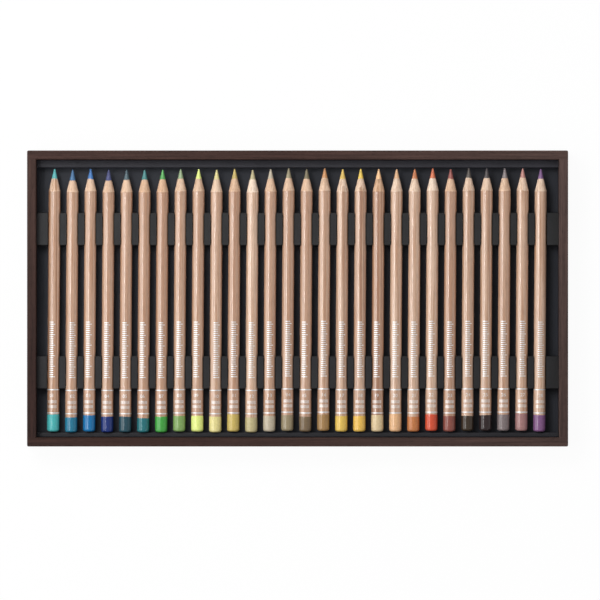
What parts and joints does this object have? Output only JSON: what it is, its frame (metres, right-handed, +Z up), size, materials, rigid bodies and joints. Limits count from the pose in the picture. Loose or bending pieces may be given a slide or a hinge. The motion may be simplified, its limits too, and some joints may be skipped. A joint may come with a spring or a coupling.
{
  "type": "pencil tray",
  "caption": "Shallow dark wooden tray with a black insert whose two notched rests hold a row of round colour pencils side by side.",
  "frame": {"origin": "middle of the tray's footprint, on the surface it stands on", "axes": "+X along the row of pencils, to the right; +Y along the pencils, from the dipped ends to the points; +Z up"},
  "size_m": [0.36, 0.197, 0.02],
  "materials": {
    "dark_wood": "dark stained open-pored wood, satin",
    "base_board": "stained plywood, matt",
    "lining": "fine-grained black covering, matt",
    "black_insert": "fine-grained black, matt",
    "black_rest": "soft black plastic, matt",
    "clear_wood": "light cedar under clear lacquer, glossy",
    "cut_wood": "bare cedar, freshly sharpened",
    "foil": "silver foil, bright",
    "shade_01": "turquoise lacquer, glossy",
    "shade_02": "teal blue lacquer, glossy",
    "shade_03": "bright blue lacquer, glossy",
    "shade_04": "ultramarine lacquer, glossy",
    "shade_05": "petrol lacquer, glossy",
    "shade_06": "teal green lacquer, glossy",
    "shade_07": "bright green lacquer, glossy",
    "shade_08": "moss green lacquer, glossy",
    "shade_09": "acid yellow lacquer, glossy",
    "shade_10": "straw lacquer, glossy",
    "shade_11": "ochre yellow lacquer, glossy",
    "shade_12": "khaki lacquer, glossy",
    "shade_13": "stone lacquer, glossy",
    "shade_14": "olive khaki lacquer, glossy",
    "shade_15": "dark olive lacquer, glossy",
    "shade_16": "brown ochre lacquer, glossy",
    "shade_17": "golden yellow lacquer, glossy",
    "shade_18": "yellow lacquer, glossy",
    "shade_19": "cream lacquer, glossy",
    "shade_20": "apricot lacquer, glossy",
    "shade_21": "orange brown lacquer, glossy",
    "shade_22": "vermilion lacquer, glossy",
    "shade_23": "red brown lacquer, glossy",
    "shade_24": "dark brown lacquer, glossy",
    "shade_25": "umber lacquer, glossy",
    "shade_26": "grey brown lacquer, glossy",
    "shade_27": "rose lacquer, glossy",
    "shade_28": "violet lacquer, glossy"
  },
  "bodies": {
    "tray": {"back_wall": "dark_wood", "front_wall": "dark_wood", "left_wall": "dark_wood", "right_wall": "dark_wood", "base_panel": "base_board", "floor_lining": "lining", "head_ledge": "black_insert", "foot_ledge": "black_insert", "tip_rest": "black_rest", "butt_rest": "black_rest"},
    "pencil_01": {"pencil_01": "clear_wood"},
    "pencil_02": {"pencil_02": "clear_wood"},
    "pencil_03": {"pencil_03": "clear_wood"},
    "pencil_04": {"pencil_04": "clear_wood"},
    "pencil_05": {"pencil_05": "clear_wood"},
    "pencil_06": {"pencil_06": "clear_wood"},
    "pencil_07": {"pencil_07": "clear_wood"},
    "pencil_08": {"pencil_08": "clear_wood"},
    "pencil_09": {"pencil_09": "clear_wood"},
    "pencil_10": {"pencil_10": "clear_wood"},
    "pencil_11": {"pencil_11": "clear_wood"},
    "pencil_12": {"pencil_12": "clear_wood"},
    "pencil_13": {"pencil_13": "clear_wood"},
    "pencil_14": {"pencil_14": "clear_wood"},
    "pencil_15": {"pencil_15": "clear_wood"},
    "pencil_16": {"pencil_16": "clear_wood"},
    "pencil_17": {"pencil_17": "clear_wood"},
    "pencil_18": {"pencil_18": "clear_wood"},
    "pencil_19": {"pencil_19": "clear_wood"},
    "pencil_20": {"pencil_20": "clear_wood"},
    "pencil_21": {"pencil_21": "clear_wood"},
    "pencil_22": {"pencil_22": "clear_wood"},
    "pencil_23": {"pencil_23": "clear_wood"},
    "pencil_24": {"pencil_24": "clear_wood"},
    "pencil_25": {"pencil_25": "clear_wood"},
    "pencil_26": {"pencil_26": "clear_wood"},
    "pencil_27": {"pencil_27": "clear_wood"},
    "pencil_28": {"pencil_28": "clear_wood"}
  },
  "joints": [
    {"name": "lift_01", "type": "slide", "parent": "tray", "child": "pencil_01", "axis": [0, 0, 1], "range_m": [0, 0.03]},
    {"name": "lift_02", "type": "slide", "parent": "tray", "child": "pencil_02", "axis": [0, 0, 1], "range_m": [0, 0.03]},
    {"name": "lift_03", "type": "slide", "parent": "tray", "child": "pencil_03", "axis": [0, 0, 1], "range_m": [0, 0.03]},
    {"name": "lift_04", "type": "slide", "parent": "tray", "child": "pencil_04", "axis": [0, 0, 1], "range_m": [0, 0.03]},
    {"name": "lift_05", "type": "slide", "parent": "tray", "child": "pencil_05", "axis": [0, 0, 1], "range_m": [0, 0.03]},
    {"name": "lift_06", "type": "slide", "parent": "tray", "child": "pencil_06", "axis": [0, 0, 1], "range_m": [0, 0.03]},
    {"name": "lift_07", "type": "slide", "parent": "tray", "child": "pencil_07", "axis": [0, 0, 1], "range_m": [0, 0.03]},
    {"name": "lift_08", "type": "slide", "parent": "tray", "child": "pencil_08", "axis": [0, 0, 1], "range_m": [0, 0.03]},
    {"name": "lift_09", "type": "slide", "parent": "tray", "child": "pencil_09", "axis": [0, 0, 1], "range_m": [0, 0.03]},
    {"name": "lift_10", "type": "slide", "parent": "tray", "child": "pencil_10", "axis": [0, 0, 1], "range_m": [0, 0.03]},
    {"name": "lift_11", "type": "slide", "parent": "tray", "child": "pencil_11", "axis": [0, 0, 1], "range_m": [0, 0.03]},
    {"name": "lift_12", "type": "slide", "parent": "tray", "child": "pencil_12", "axis": [0, 0, 1], "range_m": [0, 0.03]},
    {"name": "lift_13", "type": "slide", "parent": "tray", "child": "pencil_13", "axis": [0, 0, 1], "range_m": [0, 0.03]},
    {"name": "lift_14", "type": "slide", "parent": "tray", "child": "pencil_14", "axis": [0, 0, 1], "range_m": [0, 0.03]},
    {"name": "lift_15", "type": "slide", "parent": "tray", "child": "pencil_15", "axis": [0, 0, 1], "range_m": [0, 0.03]},
    {"name": "lift_16", "type": "slide", "parent": "tray", "child": "pencil_16", "axis": [0, 0, 1], "range_m": [0, 0.03]},
    {"name": "lift_17", "type": "slide", "parent": "tray", "child": "pencil_17", "axis": [0, 0, 1], "range_m": [0, 0.03]},
    {"name": "lift_18", "type": "slide", "parent": "tray", "child": "pencil_18", "axis": [0, 0, 1], "range_m": [0, 0.03]},
    {"name": "lift_19", "type": "slide", "parent": "tray", "child": "pencil_19", "axis": [0, 0, 1], "range_m": [0, 0.03]},
    {"name": "lift_20", "type": "slide", "parent": "tray", "child": "pencil_20", "axis": [0, 0, 1], "range_m": [0, 0.03]},
    {"name": "lift_21", "type": "slide", "parent": "tray", "child": "pencil_21", "axis": [0, 0, 1], "range_m": [0, 0.03]},
    {"name": "lift_22", "type": "slide", "parent": "tray", "child": "pencil_22", "axis": [0, 0, 1], "range_m": [0, 0.03]},
    {"name": "lift_23", "type": "slide", "parent": "tray", "child": "pencil_23", "axis": [0, 0, 1], "range_m": [0, 0.03]},
    {"name": "lift_24", "type": "slide", "parent": "tray", "child": "pencil_24", "axis": [0, 0, 1], "range_m": [0, 0.03]},
    {"name": "lift_25", "type": "slide", "parent": "tray", "child": "pencil_25", "axis": [0, 0, 1], "range_m": [0, 0.03]},
    {"name": "lift_26", "type": "slide", "parent": "tray", "child": "pencil_26", "axis": [0, 0, 1], "range_m": [0, 0.03]},
    {"name": "lift_27", "type": "slide", "parent": "tray", "child": "pencil_27", "axis": [0, 0, 1], "range_m": [0, 0.03]},
    {"name": "lift_28", "type": "slide", "parent": "tray", "child": "pencil_28", "axis": [0, 0, 1], "range_m": [0, 0.03]}
  ]
}
